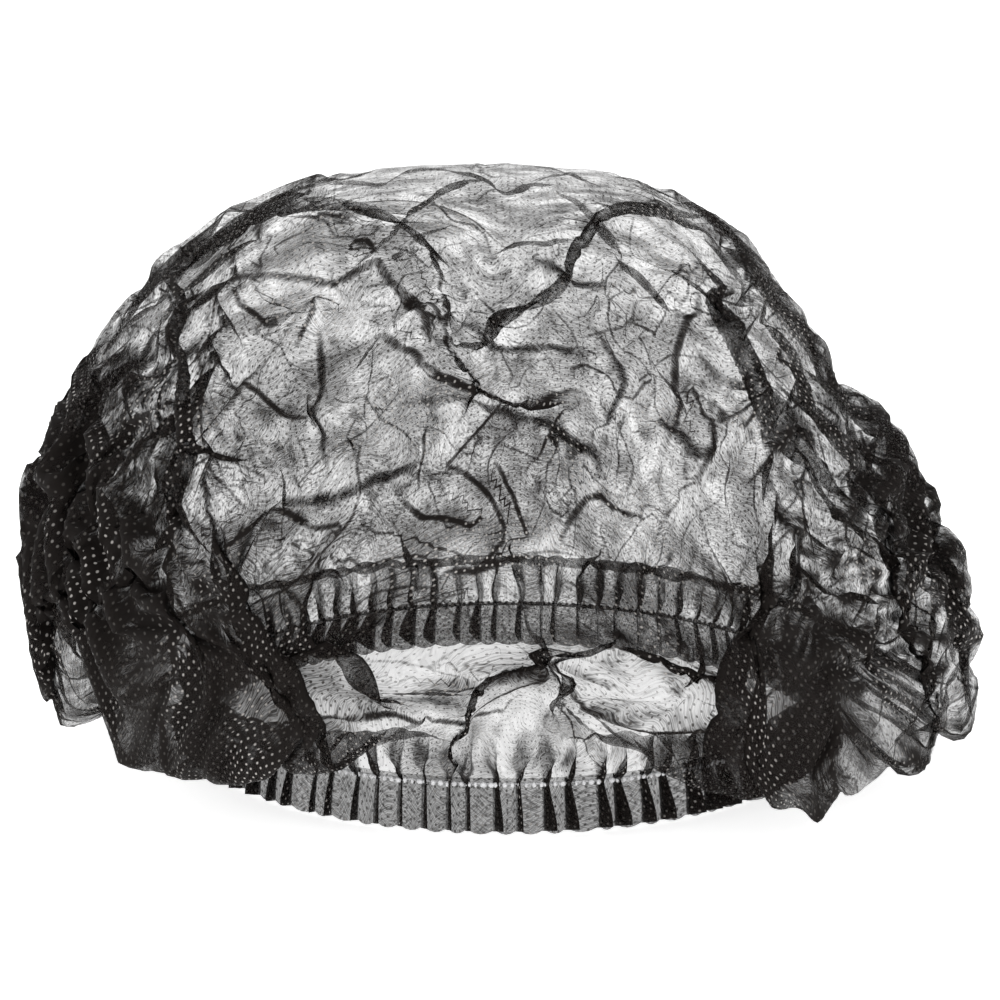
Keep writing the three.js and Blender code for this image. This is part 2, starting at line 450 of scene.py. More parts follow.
# How far a fold's line and width stray, and how the folded layers stand out
foldWander = {"cells": 129, "grain": 4, "sway": 3.0, "spread": 0.4, "thinnest": 0.2}
foldLayers = {"sharp": 2, "width": 1.5, "lift": 0.6, "liftShare": 0.3, "liftMost": 2.2, "holdReach": 1.3}
swayNoise = softNoise(foldWander["cells"], foldWander["grain"])[..., None]
widthNoise = softNoise(foldWander["cells"], foldWander["grain"])[..., None]


def foldTucks(turn, up, smallest):
    # moves the cloth beside each line over itself, and gives how far out each layer then lies
    cells = turn.shape[0] - 1
    sway = foldWander["sway"] * resample(swayNoise, cells)[..., 0]
    width = softStep(0.5 + foldWander["spread"] * resample(widthNoise, cells)[..., 0])
    lift = np.zeros(turn.shape)
    near = np.zeros(turn.shape)
    for name, overlap, pull, outside, start, end, line in tucks:
        gap, along, left, above = lineFrame(turn, up, line)
        gap = gap + sway
        fade = softStep(along / start) * softStep((1 - along) / end)
        near = np.maximum(near, fade * np.clip(foldLayers["holdReach"] - np.abs(gap) / pull, 0, 1))
        if overlap < smallest:
            continue
        over = overlap * between(foldWander["thinnest"], 1, width)
        layer = np.tanh(foldLayers["sharp"] * gap / over)
        shift = -fade * over * layer * np.clip(1 - np.abs(gap) / pull, 0, 1)
        turn = turn + shift * left
        up = up + shift * above
        out = min(foldLayers["liftMost"], foldLayers["liftShare"] * overlap + foldLayers["lift"])
        lift += outside * fade * layer * np.exp(-(gap / (foldLayers["width"] * over)) ** 2) * out
    return turn, up, lift, near


# Wrinkles: lines on the flat cloth with a steep side and a gentle one, some placed and most by chance
wrinkles = {
    "count": 330, "shortest": 26, "longest": 100, "step": 6,
    "nearest": 0.04, "furthest": 0.66,  # shares of the disc's area where they start
    "slant": 0.55,  # spread of their directions about level, in radians
    "curl": 0.38,  # turn at each step
    "height": 2.2, "steep": 2.0, "gentle": 6.0,  # how far the cloth stands up, and its fall on each side
    "reach": 14,  # how far from the line the cloth is moved
    "line": 0.5, "gap": 1.9,  # half width of the dark line, and how far past it the darkness may reach
    "taper": 3,  # the ends thin out over one part in this many
    "weakest": 0.2, "strongest": 0.5,
    "from": 0.10, "over": 0.08,  # above the gathers
    "calmLeft": 0.8, "calmRight": 0.5,  # how much lower they are at the sides
    "bedHalf": 2, "bedRounds": 1,  # smoothing of the cloth that they stand up from
}
# half width of the dark line, strength, points of degrees round and hundredths of the way up
placedWrinkles = [
    (0.8, 0.8, [(-110, 73), (-105, 66), (-101, 59), (-99, 55)]),
    (1.3, 1.0, [(-151, 66), (-139, 65), (-127, 65), (-120, 65), (-116, 68), (-113, 66), (-106, 62),
                (-102, 58), (-101, 54)]),
    (0.9, 1.0, [(-113, 66), (-107, 64), (-101, 61)]),
    (0.7, 1.0, [(-122, 69), (-119, 70), (-115, 68)]),
    (0.7, 1.0, [(-123, 65), (-121, 62), (-122, 58)]),
    (0.7, 1.0, [(-139, 65), (-133, 62), (-125, 60)]),
    (1.3, 1.0, [(-114, 58), (-111, 60), (-107, 58), (-102, 54), (-96, 52), (-90, 52), (-85, 54),
                (-80, 55), (-74, 54)]),
    (0.7, 1.0, [(-131, 54), (-126, 55), (-123, 54), (-119, 52), (-115, 52)]),
    (0.7, 1.0, [(-140, 59), (-135, 56), (-132, 53), (-134, 49)]),
    (0.6, 1.0, [(-89, 53), (-94, 48), (-98, 44)]),
    (1.2, 1.0, [(-53, 70), (-56, 68), (-59, 65), (-63, 60), (-64, 57), (-64, 54), (-69, 48)]),
    (1.0, 1.0, [(-62, 61), (-61, 57), (-59, 53), (-60, 51), (-66, 45)]),
    (0.7, 1.0, [(-81, 57), (-77, 58), (-74, 57), (-72, 55), (-65, 55)]),
    (0.5, 1.0, [(-79, 54), (-83, 49), (-87, 44)]),
    (0.6, 1.0, [(-46, 58), (-57, 52)]),
    (0.6, 1.0, [(-43, 54), (-57, 47)]),
    (0.8, 1.0, [(-104, 44), (-98, 40), (-94, 38), (-91, 40)]),
    (0.6, 1.0, [(-102, 50), (-99, 42)]),
    (0.9, 1.0, [(-98, 46), (-92, 41), (-89, 35)]),
    (0.8, 1.0, [(-92, 46), (-89, 40), (-87, 35)]),
    (0.9, 1.0, [(-95, 31), (-89, 37)]),
    (1.2, 1.0, [(-97, 34), (-93, 33), (-89, 34), (-85, 35)]),
    (0.9, 1.0, [(-85, 34), (-83, 39), (-81, 42), (-79, 43), (-78, 42), (-74, 42), (-70, 44)]),
    (0.8, 1.0, [(-131, 36), (-122, 39), (-118, 43), (-115, 43), (-111, 41), (-102, 40)]),
    (0.7, 1.0, [(-82, 24), (-87, 18), (-93, 12), (-101, 6)]),
    (0.7, 1.0, [(-86, 25), (-83, 18), (-80, 11)]),
    (1.2, 0.9, [(-116, 20), (-109, 20), (-104, 17), (-101, 12), (-97, 9), (-90, 11), (-85, 21)]),
    (1.2, 0.9, [(-83, 19), (-78, 15), (-73, 18), (-67, 24)]),
    (2.0, 0.9, [(128, 23), (116, 22), (108, 24), (101, 25)]),
    (2.0, 0.9, [(110, 33), (92, 32), (83, 29), (77, 26), (75, 22)]),
    (1.6, 0.9, [(122, 47), (120, 37), (117, 23)]),
    (1.6, 0.8, [(100, 45), (92, 40), (84, 41), (76, 37)]),
    (1.4, 0.8, [(88, 53), (80, 50), (70, 52)]),
    (1.5, 0.8, [(70, 33), (62, 28), (56, 31)]),
    (1.4, 0.8, [(78, 45), (73, 36), (76, 28)]),
]


def wanderLine():
    # a chance line on the flat disc, level at the front, with a chance strength
    turn = rng.uniform(-math.pi, math.pi)
    run = flatRadius * math.sqrt(rng.uniform(wrinkles["nearest"], wrinkles["furthest"]))
    spot = onDisc(turn, run)
    heading = turn + math.pi / 2 + rng.normal(0, wrinkles["slant"])
    line = [spot]
    for _ in range(int(rng.uniform(wrinkles["shortest"], wrinkles["longest"]) / wrinkles["step"])):
        heading += rng.normal(0, wrinkles["curl"])
        spot = spot + onDisc(heading, wrinkles["step"])
        line.append(spot)
    strength = rng.uniform(wrinkles["weakest"], wrinkles["strongest"])
    return np.array(line), strength, rng.choice([-1, 1]), wrinkles["line"]


def placedLine(width, strength, points):
    turn, up = np.array(capLine(points)).T
    return onDisc(turn, flatRadius * (1 - up)), strength, 1, width


wrinkleLines = [placedLine(*row) for row in placedWrinkles]
wrinkleLines += [wanderLine() for _ in range(wrinkles["count"])]


def wrinkleField(flat):
    # how far the wrinkles lift the cloth, and the signed distance, strength and width of the darkest one
    reach = wrinkles["reach"]
    spots = flat.reshape(-1, 2)
    lift, dark, strong, wide = (np.zeros(len(spots)) for _ in range(4))
    signed = np.full(len(spots), float(reach))
    for line, strength, steepSide, width in wrinkleLines:
        inside = (spots > line.min(0) - reach).all(1) & (spots < line.max(0) + reach).all(1)
        pick = np.flatnonzero(inside)
        parts = [(*(spots[pick] - start).T, *(end - start)) for start, end in zip(line[:-1], line[1:])]
        best, side, along = nearestPart(parts)[:3]
        size = strength * softStep(wrinkles["taper"] * np.minimum(along, 1 - along))
        fall = np.where(side == steepSide, np.exp(-(best / wrinkles["steep"]) ** 2),
                        np.exp(-best / wrinkles["gentle"]))
        height = wrinkles["height"] * size * fall * softStep(2 * (1 - best / reach))
        lift[pick] = np.maximum(lift[pick], height)
        shade = size * np.clip(1 - best / (2 * width + wrinkles["step"]), 0, 1)
        darker = shade > dark[pick]
        dark[pick] = np.maximum(dark[pick], shade)
        signed[pick] = np.where(darker, best * side, signed[pick])
        near = softStep(2 - best / (2 * width + wrinkles["gap"]))
        strong[pick] = np.where(darker, size * near, strong[pick])
        wide[pick] = np.where(darker, width, wide[pick])
    shape = flat.shape[:2]
    return lift.reshape(shape), np.stack([signed, strong, wide], -1).reshape(*shape, 3)


# Most slack that the cloth keeps, as cloth over form. The front panel is nearly smooth, and wider above
# the mouth's window, and the back is smoother than the sides.
clothSlack = {
    "kept": 0.99,  # the rest is taken up by crinkles too fine to draw
    "sideFullness": 1.36,  # cloth drawn in at the sides
    "low": 1.2, "lowFrom": 0.01, "lowOver": 0.07,  # above the gathers
    "left": 1.6, "right": 1.45, "sidesFrom": 0.2, "sidesTop": 0.46, "sidesOver": 0.12, "upper": 1.12,
    "backMiddle": 90, "backWidth": 60,
    "frontMiddle": -90, "frontTop": 0.80, "frontOver": 0.1,
    "windowWidth": 21, "panelWidth": 46, "panelFrom": 0.22, "panelOver": 0.2,
    "crown": 0.985, "crownFrom": 0.72, "crownOver": 0.1,
    "tuck": 1.03,  # beside a fold, before it is made
}


def sideShare(turn, middle, width):
    return np.exp(-turnOff(turn, middle, width) ** 4)


def sideBand(turn, up):
    # 1 at the full lower sides, nothing at the front, the back and the crown
    size = clothSlack
    rise = softStep((up - size["sidesFrom"]) / size["sidesOver"])
    rise = rise * softStep((size["sidesTop"] - up) / size["sidesOver"] + 0.5)
    back = sideShare(turn, size["backMiddle"], size["backWidth"])
    front = sideShare(turn, size["frontMiddle"], size["panelWidth"])
    return rise * (1 - np.clip(back + front, 0, 1))


def fromSides(turn, left, right):
    return between(right, left, softStep(0.5 - np.cos(turn)))


def mostSlack(turn, up, atGathers, atFront):
    # how much slack the cloth keeps at each place
    size = clothSlack
    slack = between(size["low"], size["upper"], softStep((up - size["sidesFrom"]) / size["sidesOver"]))
    slack = between(slack, fromSides(turn, size["left"], size["right"]), sideBand(turn, up))
    opened = softStep((up - size["panelFrom"]) / size["panelOver"])
    panel = sideShare(turn, size["frontMiddle"], between(size["windowWidth"], size["panelWidth"], opened))
    panel = panel * softStep((size["frontTop"] - up) / size["frontOver"] + 0.5)
    slack = between(slack, np.minimum(atFront, slack), panel)
    slack = between(slack, size["crown"], softStep((up - size["crownFrom"]) / size["crownOver"]))
    return between(slack, atGathers, 1 - softStep((up - size["lowFrom"]) / size["lowOver"]))


def clothFullness(turn, up):
    # cloth over flat disc at each place
    return between(clothSlack["kept"], clothSlack["sideFullness"], sideBand(turn, up))


# Settling, coarse to fine. Each round the threads pull back to their flat length, bends straighten, and a
# weak hold keeps the puffed form. Chance bumps start each level off, and its overlap is the least of a fold
# that it makes.
settling = [
    {"cells": 65, "rounds": 1500, "bend": 0.009, "hold": 0.0012, "bumps": 3, "grain": 6,
     "slack": 1.15, "front": 1.03, "overlap": 99},
    {"cells": 129, "rounds": 800, "bend": 0.006, "hold": 0.0010, "bumps": 0.3, "grain": 6,
     "slack": 1.15, "front": 1.08, "overlap": 7},
    {"cells": 258, "rounds": 350, "bend": 0.0025, "hold": 0.0008, "bumps": 0.3, "grain": 4,
     "slack": 1.05, "front": 1.16, "overlap": 0},
]
threadPull = {"share": 0.17, "slanted": 0.5, "carry": 0.9, "least": 1e-6}  # carry: speed kept each round


def linkEnds():
    # neighbours along, across and slanted, and how strongly they pull
    every, low, high = slice(None), slice(None, -1), slice(1, None)
    return [
        ((low, every), (high, every), 1.0),
        ((every, low), (every, high), 1.0),
        ((low, low), (high, high), threadPull["slanted"]),
        ((low, high), (high, low), threadPull["slanted"]),
    ]


def settle(spots, form, lengths, level, hold, free):
    spots = spots.astype(np.float32)
    form = form.astype(np.float32)
    free = free[..., None].astype(np.float32)
    before = spots.copy()
    for _ in range(level["rounds"]):
        pull = hold * (form - spots)
        for (a, b, weight), length in zip(linkEnds(), lengths):
            gap = spots[b] - spots[a]
            size = np.sqrt((gap * gap).sum(-1)) + threadPull["least"]
            move = (threadPull["share"] * weight * (1 - length / size))[..., None] * gap
            pull[a] += move
            pull[b] -= move
        for axis in (0, 1):
            line = np.moveaxis(spots, axis, 0)
            part = np.moveaxis(pull, axis, 0)
            bow = level["bend"] * (line[2:] + line[:-2] - 2 * line[1:-1])
            part[1:-1] += 2 * bow
            part[2:] -= bow
            part[:-2] -= bow
        after = spots + free * (pull + threadPull["carry"] * (spots - before))
        after[..., 2] = np.maximum(after[..., 2], crownCloth["lowest"])
        before, spots = spots, after
    return spots


def crownSpots():
    offset = None
    for level in settling:
        cells = level["cells"]
        flat = discGrid(cells)
        turn, up, run = discPlace(flat)
        border = np.ones((cells + 1, cells + 1), bool)
        border[1:-1, 1:-1] = False
        plain = formPoint(turn, up)
        normal = gridNormals(plain)
        fade = np.clip((flatRadius - run) / crownCloth["edgeFade"], 0, 1)
        plain = plain + normal * (dentShape(turn, up) * fade)[..., None]
        foldTurn, foldUp, lift, near = foldTucks(turn, up, level["overlap"])
        lift = (lift + dentShape(foldTurn, foldUp)) * fade
        form = formPoint(foldTurn, foldUp) + normal * lift[..., None]
        slack = mostSlack(turn, up, level["slack"], level["front"])
        if level is settling[-1]:
            form = form + gatherShift(turn, run)
        else:
            slack = between(slack, clothSlack["tuck"], near)
        fullness = clothFullness(turn, up)
        lengths = []
        for a, b, weight in linkEnds():
            laid = lengthOf(plain[a] - plain[b]) * slack[a]
            cut = lengthOf(flat[a] - flat[b]) * fullness[a]
            folded = lengthOf(form[a] - form[b])
            lengths.append(np.minimum(cut, np.maximum(laid, folded)).astype(np.float32))
        spots = form + normal * (softNoise(cells, level["grain"]) * level["bumps"] * fade)[..., None]
        if offset is not None:
            spots = spots + np.where(border[..., None], 0, resample(offset, cells))
        hold = level["hold"] * (1 + crownCloth["foldHold"] * near)
        spots = settle(spots, form, lengths, level, hold[..., None].astype(np.float32), ~border)
        offset = spots - form
        furthest = round(float(np.abs(offset).max()), 1)
        print("crown cloth settled on", cells, "cells, furthest", furthest, "mm")
    lift, creases = wrinkleField(flat)
    lift *= softStep((up - wrinkles["from"]) / wrinkles["over"])
    lift *= 1 - fromSides(turn, wrinkles["calmLeft"], wrinkles["calmRight"]) * np.cos(turn) ** 2
    spots = spots.astype(float)
    bed = softGrid(spots, wrinkles["bedHalf"], wrinkles["bedRounds"])
    spots += gridNormals(bed) * lift[..., None] + flapShift(turn, up) * fade[..., None]
    spots[..., 2] = np.maximum(spots[..., 2], crownCloth["lowest"])
    return spots, flat, creases


def sharpness(spots, cell):
    # how sharply the cloth is folded at each point of the grid
    bow = np.zeros(spots.shape[:2])
    for axis in (0, 1):
        line = np.moveaxis(spots, axis, 0)
        sized = lengthOf(line[2:] + line[:-2] - 2 * line[1:-1]) / cell
        np.moveaxis(bow, axis, 0)[1:-1] += sized ** 2
    return np.sqrt(bow)


# Cloth that lies in a fold or a crinkle, for the depth of tone, against the smoothed surface
clothDepth = {"broadHalf": 4, "broadRounds": 2, "steepest": 0.4}
# Where crinkles too fine to draw lie thick, or are few: name, degrees round, share of the way up,
# half width in degrees, half height, and how much more cloth lies there
thickPlaces = [
    ("leftSide", 180, 0.34, 46, 0.16, 0.7),
    ("leftCorner", -129, 0.26, 19, 0.13, 3.4),
    ("backGathers", 90, 0.04, 62, 0.09, 0.35),
    ("lowPanel", -94, 0.42, 24, 0.11, 0.35),
    ("rightPanel", -66, 0.58, 13, 0.12, -0.25),
    ("rightCorner", -55, 0.28, 14, 0.11, 2.6),
]
# How the threads stray: grain in cells, and millimetres along and across the threads
threadSway = [(2, (0.8, 1.5)), (8, (2.0, 4.0))]
threadCloseness = (0.6, 2.3)  # least and most that this packs them


def gathering(spots):
    # how much cloth lies in a piece of the broad surface: 1 where it lies flat, more on a fold's flank
    broad = gridNormals(softGrid(spots, clothDepth["broadHalf"], clothDepth["broadRounds"]))
    level = np.abs((gridNormals(spots) * broad).sum(-1))
    return 1 / np.clip(level, clothDepth["steepest"], 1)


def fineGathering(turn, up):
    # the same for crinkles too fine to draw, which the sides are full of
    thick = np.ones(turn.shape)
    for place in thickPlaces:
        thick += place[-1] * spotShare(turn, up, place, 4)
    return thick


def threadCourse(flat):
    # how far the threads stray from their straight course, and how close together that brings them
    cells = flat.shape[0] - 1
    stray = np.zeros(flat.shape)
    for grain, amount in threadSway:
        for axis in (0, 1):
            stray[..., axis] += amount[axis] * softNoise(cells, grain)
    down, across = np.gradient(flat, axis=0), np.gradient(flat, axis=1)
    size = down[..., 0] * across[..., 1] - down[..., 1] * across[..., 0]
    rise = stray[..., 1]
    close = (down[..., 0] * np.gradient(rise, axis=1) - across[..., 0] * np.gradient(rise, axis=0)) / size
    return stray, np.clip(1 + close, *threadCloseness)


def plainMesh(name, spots, faces, edges=()):
    mesh = bpy.data.meshes.new(name)
    mesh.from_pydata(spots, edges, faces)
    mesh.shade_smooth()
    piece = bpy.data.objects.new(name, mesh)
    bpy.context.collection.objects.link(piece)
    return piece


def inFrame(spots):
    # millimetres round the mouth's axis to metres in the CAD frame
    return spots * mm + np.array([mouthCentre.x, mouthCentre.y, 0])


def borderLoop(cells):
    # rows and columns of the grid's edge, by rising angle
    rise, none, full = np.arange(cells), np.zeros(cells, int), np.full(cells, cells)
    return np.concatenate([full, full - rise, none, rise]), np.concatenate([rise, full, full - rise, none])


def pointValues(piece, name, kind, field, values):
    attribute = piece.data.attributes.new(name, kind, "POINT")
    attribute.data.foreach_set(field, values.astype(np.float32).ravel())


def crownPiece():
    spots, flat, creases = crownSpots()
    cells = settling[-1]["cells"]
    loop = borderLoop(cells)
    rowTurn = np.array([math.atan2(y, x) for x, y in flat[loop]])
    skirt, skirtFlat = hemRows(rowTurn)
    number = np.arange((cells + 1) ** 2).reshape(cells + 1, cells + 1)
    corners = [number[:-1, :-1], number[1:, :-1], number[1:, 1:], number[:-1, 1:]]
    faces = np.stack(corners, -1).reshape(-1, 4)
    rings = [number[loop]]
    for k in range(len(skirt)):
        rings.append(number.size + k * len(rowTurn) + np.arange(len(rowTurn)))
    bands = []
    for inner, outer in zip(rings[:-1], rings[1:]):
        bands.append(np.stack([inner, outer, np.roll(outer, -1), np.roll(inner, -1)], -1))
    faces = np.concatenate([faces, *bands])
    allSpots = np.concatenate([spots.reshape(-1, 3), *skirt])
    piece = plainMesh("crownCloth", inFrame(allSpots).tolist(), faces.tolist())

    # flat cloth and the threads' course on it
    stray, close = threadCourse(flat)
    allFlat = np.concatenate([flat.reshape(-1, 2), *skirtFlat])
    allCourse = allFlat + np.concatenate([stray.reshape(-1, 2)] + [stray[loop]] * len(skirt))
    for name, places in (("flatCloth", allFlat), ("threadCourse", allCourse)):
        square = places[faces.ravel()] / crownCloth["uvSpan"] + 0.5
        piece.data.uv_layers.new(name=name).data.foreach_set("uv", square.astype(np.float32).ravel())

    # creases and depth of cloth
    bends = sharpness(spots, 2 * flatRadius / cells)
    crease = np.clip((bends - crownCloth["creaseFrom"]) / crownCloth["creaseOver"], 0, 1)
    inSkirt = len(allSpots) - number.size
    pointValues(piece, "crease", "FLOAT", "value", np.append(crease, np.zeros(inSkirt)))
    fine = np.concatenate([creases.reshape(-1, 3), np.zeros((inSkirt, 3))])
    pointValues(piece, "fineCrease", "FLOAT_VECTOR", "vector", fine)
    turn, up, run = discPlace(flat)
    gathered = gathering(spots) * fineGathering(turn, up) * close
    gathered = gathered * (1 + hem["foldCover"] * (foldTone(turn) * gatherShare(run)))
    atBack = backShare(rowTurn)
    rowGathered = between(hem["gathered"], hem["gatheredBack"], atBack)
    rowGathered = rowGathered * (1 + hem["foldCover"] * (1 - hem["backCover"] * atBack) * foldTone(rowTurn))
    gathered = np.concatenate([gathered.ravel()] + [rowGathered] * len(skirt))
    pointValues(piece, "gathered", "FLOAT", "value", gathered)
    return piece


def linear(code):
    # sRGB hex to linear colour
    parts = [int(code[i:i + 2], 16) / 255 for i in (1, 3, 5)]
    return [p / 12.92 if p <= 0.04045 else ((p + 0.055) / 1.055) ** 2.4 for p in parts] + [1]


def nodeAdder(tree):
    def addNode(kind, inputs=None, **settings):
        # an input takes a value, a socket, or a node for its first output
        node = tree.nodes.new(kind)
        for name, value in settings.items():
            setattr(node, name, value)
        for name, value in (inputs or {}).items():
            if isinstance(value, bpy.types.Node):
                value = value.outputs[0]
            if isinstance(value, bpy.types.NodeSocket):
                tree.links.new(value, node.inputs[name])
            else:
                node.inputs[name].default_value = value
        return node
    return addNode


def newMaterial(name):
    material = bpy.data.materials.new(name)
    material.use_nodes = True
    material.node_tree.nodes.clear()
    return material, nodeAdder(material.node_tree)


# Spun-bonded polypropylene: a thin web of black threads, fused together in small dots. A layer lets
# more than half of the light through and shows fine curly threads. The fused dots are dark specks
# against the light. In chance patches they are painted light grey, a painted glint that shows up where
# many layers make the cloth black.
spunBond = {
    # the glint colour is a painted highlight on the dots, not their own colour
    "thread": "#161210", "dot": "#3c3936", "glint": "#a8a4a0",
    "dotSpacing": 2.0, "dotSize": 0.10, "dotSoft": 0.09, "dotCover": 0.8, "dotUneven": 0.25,
    "strokeDetail": 2.0, "strokeRough": 0.6, "strokeFrom": 0.52, "strokeTo": 0.68,  # noise drawn as strokes
    "webCover": 0.30,  # threads too fine to show one by one
    "glintSize": 22, "glintFrom": 0.5, "glintTo": 0.75,  # chance patches where the dots are painted light grey, a painted glint
    "creaseGather": 5.5, "creaseFade": 1.15,  # layers in a crease, and how softly its line ends
    "threadRough": 0.8, "dotRough": 0.3, "ior": 1.49, "specular": 0.12,
}
# Strokes that bundles of threads make: degrees, length and width in mm, cover. Real threads are about
# 0.02 mm wide, so the strokes are drawn coarser to show.
threadRuns = [
    (0, 4.2, 0.32, 0.38),
    (18, 3.4, 0.40, 0.32),
    (-30, 3.0, 0.45, 0.28),
]


def spunBondMaterial():
    look = spunBond
    material, add = newMaterial("spunBondBlack")
    flat, course = [add("ShaderNodeVectorMath", {
        0: add("ShaderNodeUVMap", uv_map=name), "Scale": crownCloth["uvSpan"]}, operation="SCALE")
        for name in ("flatCloth", "threadCourse")]
    clear = None  # share of the light that gets between the threads
    for angle, run, width, most in threadRuns:
        turned = add("ShaderNodeMapping", {
            "Vector": course, "Rotation": (0, 0, math.radians(angle)), "Scale": (1 / run, 1 / width, 1)})
        wave = add("ShaderNodeTexNoise", {
            "Vector": turned, "Scale": 1.0, "Detail": look["strokeDetail"],
            "Roughness": look["strokeRough"]}, noise_dimensions="2D")
        gap = add("ShaderNodeMapRange", {
            "Value": wave.outputs["Fac"], "From Min": look["strokeFrom"], "From Max": look["strokeTo"],
            "To Min": 1.0, "To Max": 1 - most})
        clear = add("ShaderNodeMath", {0: clear, 1: gap}, operation="MULTIPLY") if clear else gap
    cover = add("ShaderNodeMapRange", {"Value": clear, "To Min": 1.0, "To Max": look["webCover"]})
    dots = add("ShaderNodeTexVoronoi", {
        "Vector": flat, "Scale": 1 / look["dotSpacing"], "Randomness": look["dotUneven"]},
        voronoi_dimensions="2D")
    dot = add("ShaderNodeMapRange", {
        "Value": dots.outputs["Distance"], "From Min": look["dotSize"],
        "From Max": look["dotSize"] + look["dotSoft"], "To Min": 1.0, "To Max": 0.0})
    covered = add("ShaderNodeMix", {"Factor": dot, "A": cover, "B": look["dotCover"]})

    # creases and gathers bring more layers, and each layer covers its share of what is still bare
    crease = add("ShaderNodeAttribute", attribute_name="crease")
    fine = add("ShaderNodeAttribute", attribute_name="fineCrease")
    parts = add("ShaderNodeSeparateXYZ", {"Vector": fine.outputs["Vector"]})
    side = add("ShaderNodeMath", {0: parts.outputs["X"]}, operation="ABSOLUTE")
    wide = add("ShaderNodeMath", {0: parts.outputs["Z"], 1: look["creaseFade"]}, operation="MULTIPLY")
    line = add("ShaderNodeMapRange", {
        "Value": side, "From Max": wide, "To Min": parts.outputs["Y"], "To Max": 0.0},
        interpolation_type="SMOOTHSTEP")
    sharp = add("ShaderNodeMath", {0: crease.outputs["Fac"], 1: line}, operation="MAXIMUM")
    bunched = add("ShaderNodeMath", {0: sharp, 1: look["creaseGather"], 2: 1.0}, operation="MULTIPLY_ADD")
    gathered = add("ShaderNodeAttribute", attribute_name="gathered")
    layers = add("ShaderNodeMath", {0: gathered.outputs["Fac"], 1: bunched}, operation="MULTIPLY")
    bare = add("ShaderNodeMath", {0: 1.0, 1: covered}, operation="SUBTRACT")
    seen = add("ShaderNodeMath", {0: bare, 1: layers}, operation="POWER")
    alpha = add("ShaderNodeMath", {0: 1.0, 1: seen}, operation="SUBTRACT")

    # painted glint: chance noise patches colour the dots light grey, as if they caught the light
    lit = add("ShaderNodeTexNoise", {
        "Vector": flat, "Scale": 1 / look["glintSize"], "Detail": 0.0}, noise_dimensions="2D")
    paintedGlintShare = add("ShaderNodeMapRange", {
        "Value": lit.outputs["Fac"], "From Min": look["glintFrom"], "From Max": look["glintTo"]})
    dotWithPaintedGlint = add("ShaderNodeMix", {
        "Factor": paintedGlintShare, "A": linear(look["dot"]), "B": linear(look["glint"])}, data_type="RGBA")
    colour = add("ShaderNodeMix", {
        "Factor": dot, "A": linear(look["thread"]), "B": dotWithPaintedGlint.outputs[2]}, data_type="RGBA")
    rough = add("ShaderNodeMapRange", {
        "Value": dot, "To Min": look["threadRough"], "To Max": look["dotRough"]})
    shader = add("ShaderNodeBsdfPrincipled", {
        "Base Color": colour.outputs[2], "Roughness": rough, "IOR": look["ior"],
        "Specular IOR Level": look["specular"], "Alpha": alpha})
    add("ShaderNodeOutputMaterial", {"Surface": shader})
    return material


crown = crownPiece()
crown.data.materials.append(spunBondMaterial())
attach(crown, "root")
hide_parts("crown")
print("crown cloth has", len(crown.data.polygons), "faces")

# Covered elastic just under the pleats' outer faces, and the thread sewn over it
sewnLoop = {"stepsPerPleat": 6, "dip": 0.5}  # how far the sewn line dips into the gaps between the pleats
elasticThread = {"reach": 72.3, "thickness": 0.55, "sides": 8}
stitches = {
    "reach": 73.2, "spacing": 1.7, "length": 1.8, "height": 1.3, "thickness": 0.8,
    "unevenness": 0.6, "tilt": 0.2, "seed": 3,  # tilt in radians
    "sides": 6, "rings": 5,
}


def loopMesh(name, reach):
    # bare closed line round the pleats at the stitch line
    count = hem["pleats"] * sewnLoop["stepsPerPleat"]
    turn = np.arange(count) / count * fullTurn
    pleatTurn, pleatReach = pleatRing(turn, reach, sewnLoop["dip"])
    spots = inFrame(onCap(pleatTurn, pleatReach, stitchHeight))
    return plainMesh(name, spots.tolist(), [], [(i, (i + 1) % count) for i in range(count)])


def nodeGroup(name, sizes, counts):
    # empty Geometry Nodes tree with a geometry in and out, named sizes and counts, and a material
    tree = bpy.data.node_groups.new(name, "GeometryNodeTree")
    tree.interface.new_socket("Geometry", in_out="OUTPUT", socket_type="NodeSocketGeometry")
    kinds = {"Geometry": ["Geometry"], "Float": sizes, "Int": counts, "Material": ["Material"]}
    for kind, sockets in kinds.items():
        for socket in sockets:
            tree.interface.new_socket(socket, in_out="INPUT", socket_type="NodeSocket" + kind)
    add = nodeAdder(tree)
    return tree, add, add("NodeGroupInput").outputs


def endGroup(add, geometry, material):
    real = add("GeometryNodeRealizeInstances", {"Geometry": geometry})
    dressed = add("GeometryNodeSetMaterial", {"Geometry": real, "Material": material})
    add("NodeGroupOutput", {"Geometry": dressed})


def growPiece(piece, tree, values):
    # sets the tree's inputs, then turns what it makes into a plain mesh
    modifier = piece.modifiers.new(tree.name, "NODES")
    modifier.node_group = tree
    for item in tree.interface.items_tree:
        if item.in_out == "INPUT" and item.name in values:
            modifier[item.identifier] = values[item.name]
    bpy.context.view_layer.update()
    ready = piece.evaluated_get(bpy.context.evaluated_depsgraph_get())
    mesh = bpy.data.meshes.new_from_object(ready)
    piece.modifiers.remove(modifier)
    piece.data = mesh
    mesh.shade_smooth()
    return piece


def elasticTree():
    tree, add, given = nodeGroup("elasticLoop", ["Thickness"], ["Sides"])
    line = add("GeometryNodeMeshToCurve", {"Mesh": given["Geometry"]})
    half = add("ShaderNodeMath", {0: given["Thickness"], 1: 0.5}, operation="MULTIPLY")
    ring = add("GeometryNodeCurvePrimitiveCircle", {"Resolution": given["Sides"], "Radius": half})
    tube = add("GeometryNodeCurveToMesh", {"Curve": line, "Profile Curve": ring})
    endGroup(add, tube, given["Material"])
    return tree


